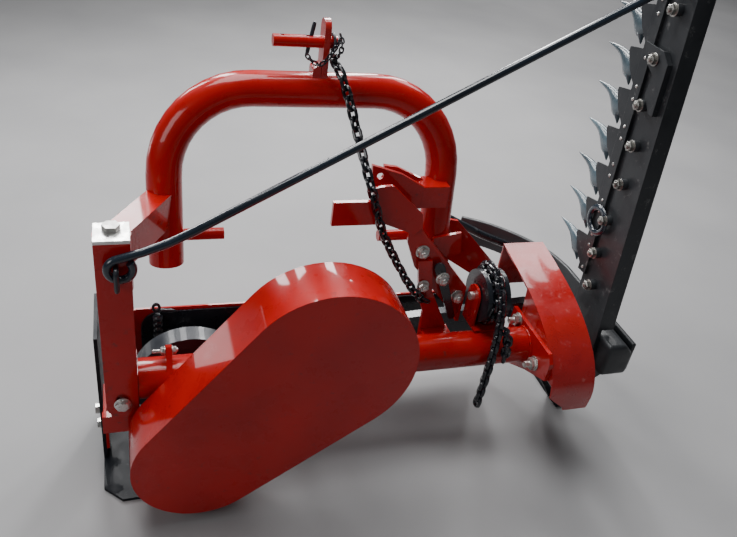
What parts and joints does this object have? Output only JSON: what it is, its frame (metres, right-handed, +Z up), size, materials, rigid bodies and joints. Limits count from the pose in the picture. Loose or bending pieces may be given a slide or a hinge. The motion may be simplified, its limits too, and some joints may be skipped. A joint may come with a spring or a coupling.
{
  "type": "three-point tractor mower",
  "caption": "Belt-driven sickle bar mower for a tractor's three-point linkage, with its cutter bar folded upright, a tube hitch hoop, a drive guard, a stay rod and a lifting chain.",
  "frame": {"origin": "on the ground, in the middle of the left skid's sole", "axes": "+Z up, +X towards the folded cutter bar along the cross tube, +Y forward to the tractor"},
  "size_m": [1.006, 0.585, 1.5312],
  "materials": {
    "red": "gloss enamel",
    "black": "semi-gloss enamel",
    "zinc": "zinc plated",
    "steel": "machined",
    "rubber": "matt",
    "fang": "smooth, dull"
  },
  "bodies": {
    "frame": {"left_skid": "black", "stay_staple": "black", "pitman_shield": "black", "inner_skid": "black", "guard_stay": "black", "lift_chain": "black", "chain_tail": "black", "skid_bolt_1": "zinc", "skid_bolt_2": "zinc", "pivot_bolt": "zinc", "post_cap": "zinc", "breakaway_bolt": "zinc", "sheave_axle": "zinc", "hinge_pin": "zinc", "main_tube": "red", "frame_bracket": "red", "post": "red", "belt_guard": "red", "guard_back_plate": "red", "crank_housing": "red", "pto_housing": "red", "latch_arm": "red", "sheave_fork": "red", "end_plate": "red", "right_guard": "red", "hinge_yoke": "red", "crank_bearing": "steel", "pto_bearing": "steel", "drive_belt_1": "rubber", "drive_belt_2": "rubber"},
    "hitch": {"hoop": "red", "hitch_brace": "red", "hitch_arm": "red", "lower_pin_left": "red", "lower_pin_right": "red", "link_clevis": "red", "top_link_tab": "red", "top_link_pin": "red", "linchpin": "steel"},
    "lever": {"latch_lever": "black"},
    "pto": {"pto_shaft": "steel", "large_pulley": "steel"},
    "crank": {"crank_shaft": "steel", "small_pulley": "steel", "flywheel": "steel", "crank_pin": "zinc"},
    "pitman": {"pitman": "black"},
    "sheave": {"chain_sheave": "black"},
    "stay": {"stay_rod": "black"},
    "bar": {"cutter_bar": "black", "hinge_casting": "black", "inner_shoe": "black", "knife_clip_1": "black", "knife_clip_2": "black", "outer_shoe": "black", "finger_casting_1": "fang", "finger_casting_2": "fang", "finger_casting_3": "fang", "finger_casting_4": "fang"},
    "knife": {"knife": "black"}
  },
  "joints": [
    {"name": "breakaway_swing", "type": "hinge", "parent": "frame", "child": "hitch", "pos_m": [-0.001, -0.0702, 0.4044], "axis": [0, 0, 1], "range_deg": [0, 35], "deforming": ["lift_chain"]},
    {"name": "latch_swing", "type": "hinge", "parent": "frame", "child": "lever", "pos_m": [0.56, -0.01, 0.349], "axis": [0, 1, 0], "range_deg": [0, 25]},
    {"name": "pto_spin", "type": "hinge", "parent": "frame", "child": "pto", "pos_m": [0.311, -0.178, 0.314], "axis": [0, 1, 0], "continuous": true},
    {"name": "crank_spin", "type": "hinge", "parent": "frame", "child": "crank", "pos_m": [0.115, -0.178, 0.13], "axis": [0, 1, 0], "continuous": true},
    {"name": "pitman_swing", "type": "hinge", "parent": "crank", "child": "pitman", "pos_m": [0.115, 0.046, 0.168], "axis": [0, 1, 0], "continuous": true},
    {"name": "sheave_spin", "type": "hinge", "parent": "frame", "child": "sheave", "pos_m": [0.633, -0.03, 0.312], "axis": [1, 0, 0], "continuous": true},
    {"name": "stay_swing", "type": "hinge", "parent": "frame", "child": "stay", "pos_m": [0.0085, -0.113, 0.466], "axis": [0, 1, 0], "range_deg": [-150, 0]},
    {"name": "bar_fold", "type": "hinge", "parent": "frame", "child": "bar", "pos_m": [0.86, -0.105, 0.1], "axis": [0, 1, 0], "range_deg": [0, 90]},
    {"name": "knife_slide", "type": "slide", "parent": "bar", "child": "knife", "axis": [0, 0.0611, 0.9981], "range_m": [0, 0.0725]}
  ],
  "couplings": [
    {"joint": "crank_spin", "follows": "pto_spin", "ratio": 1.9667},
    {"joint": "pitman_swing", "follows": "pto_spin", "ratio": -1.9667}
  ]
}
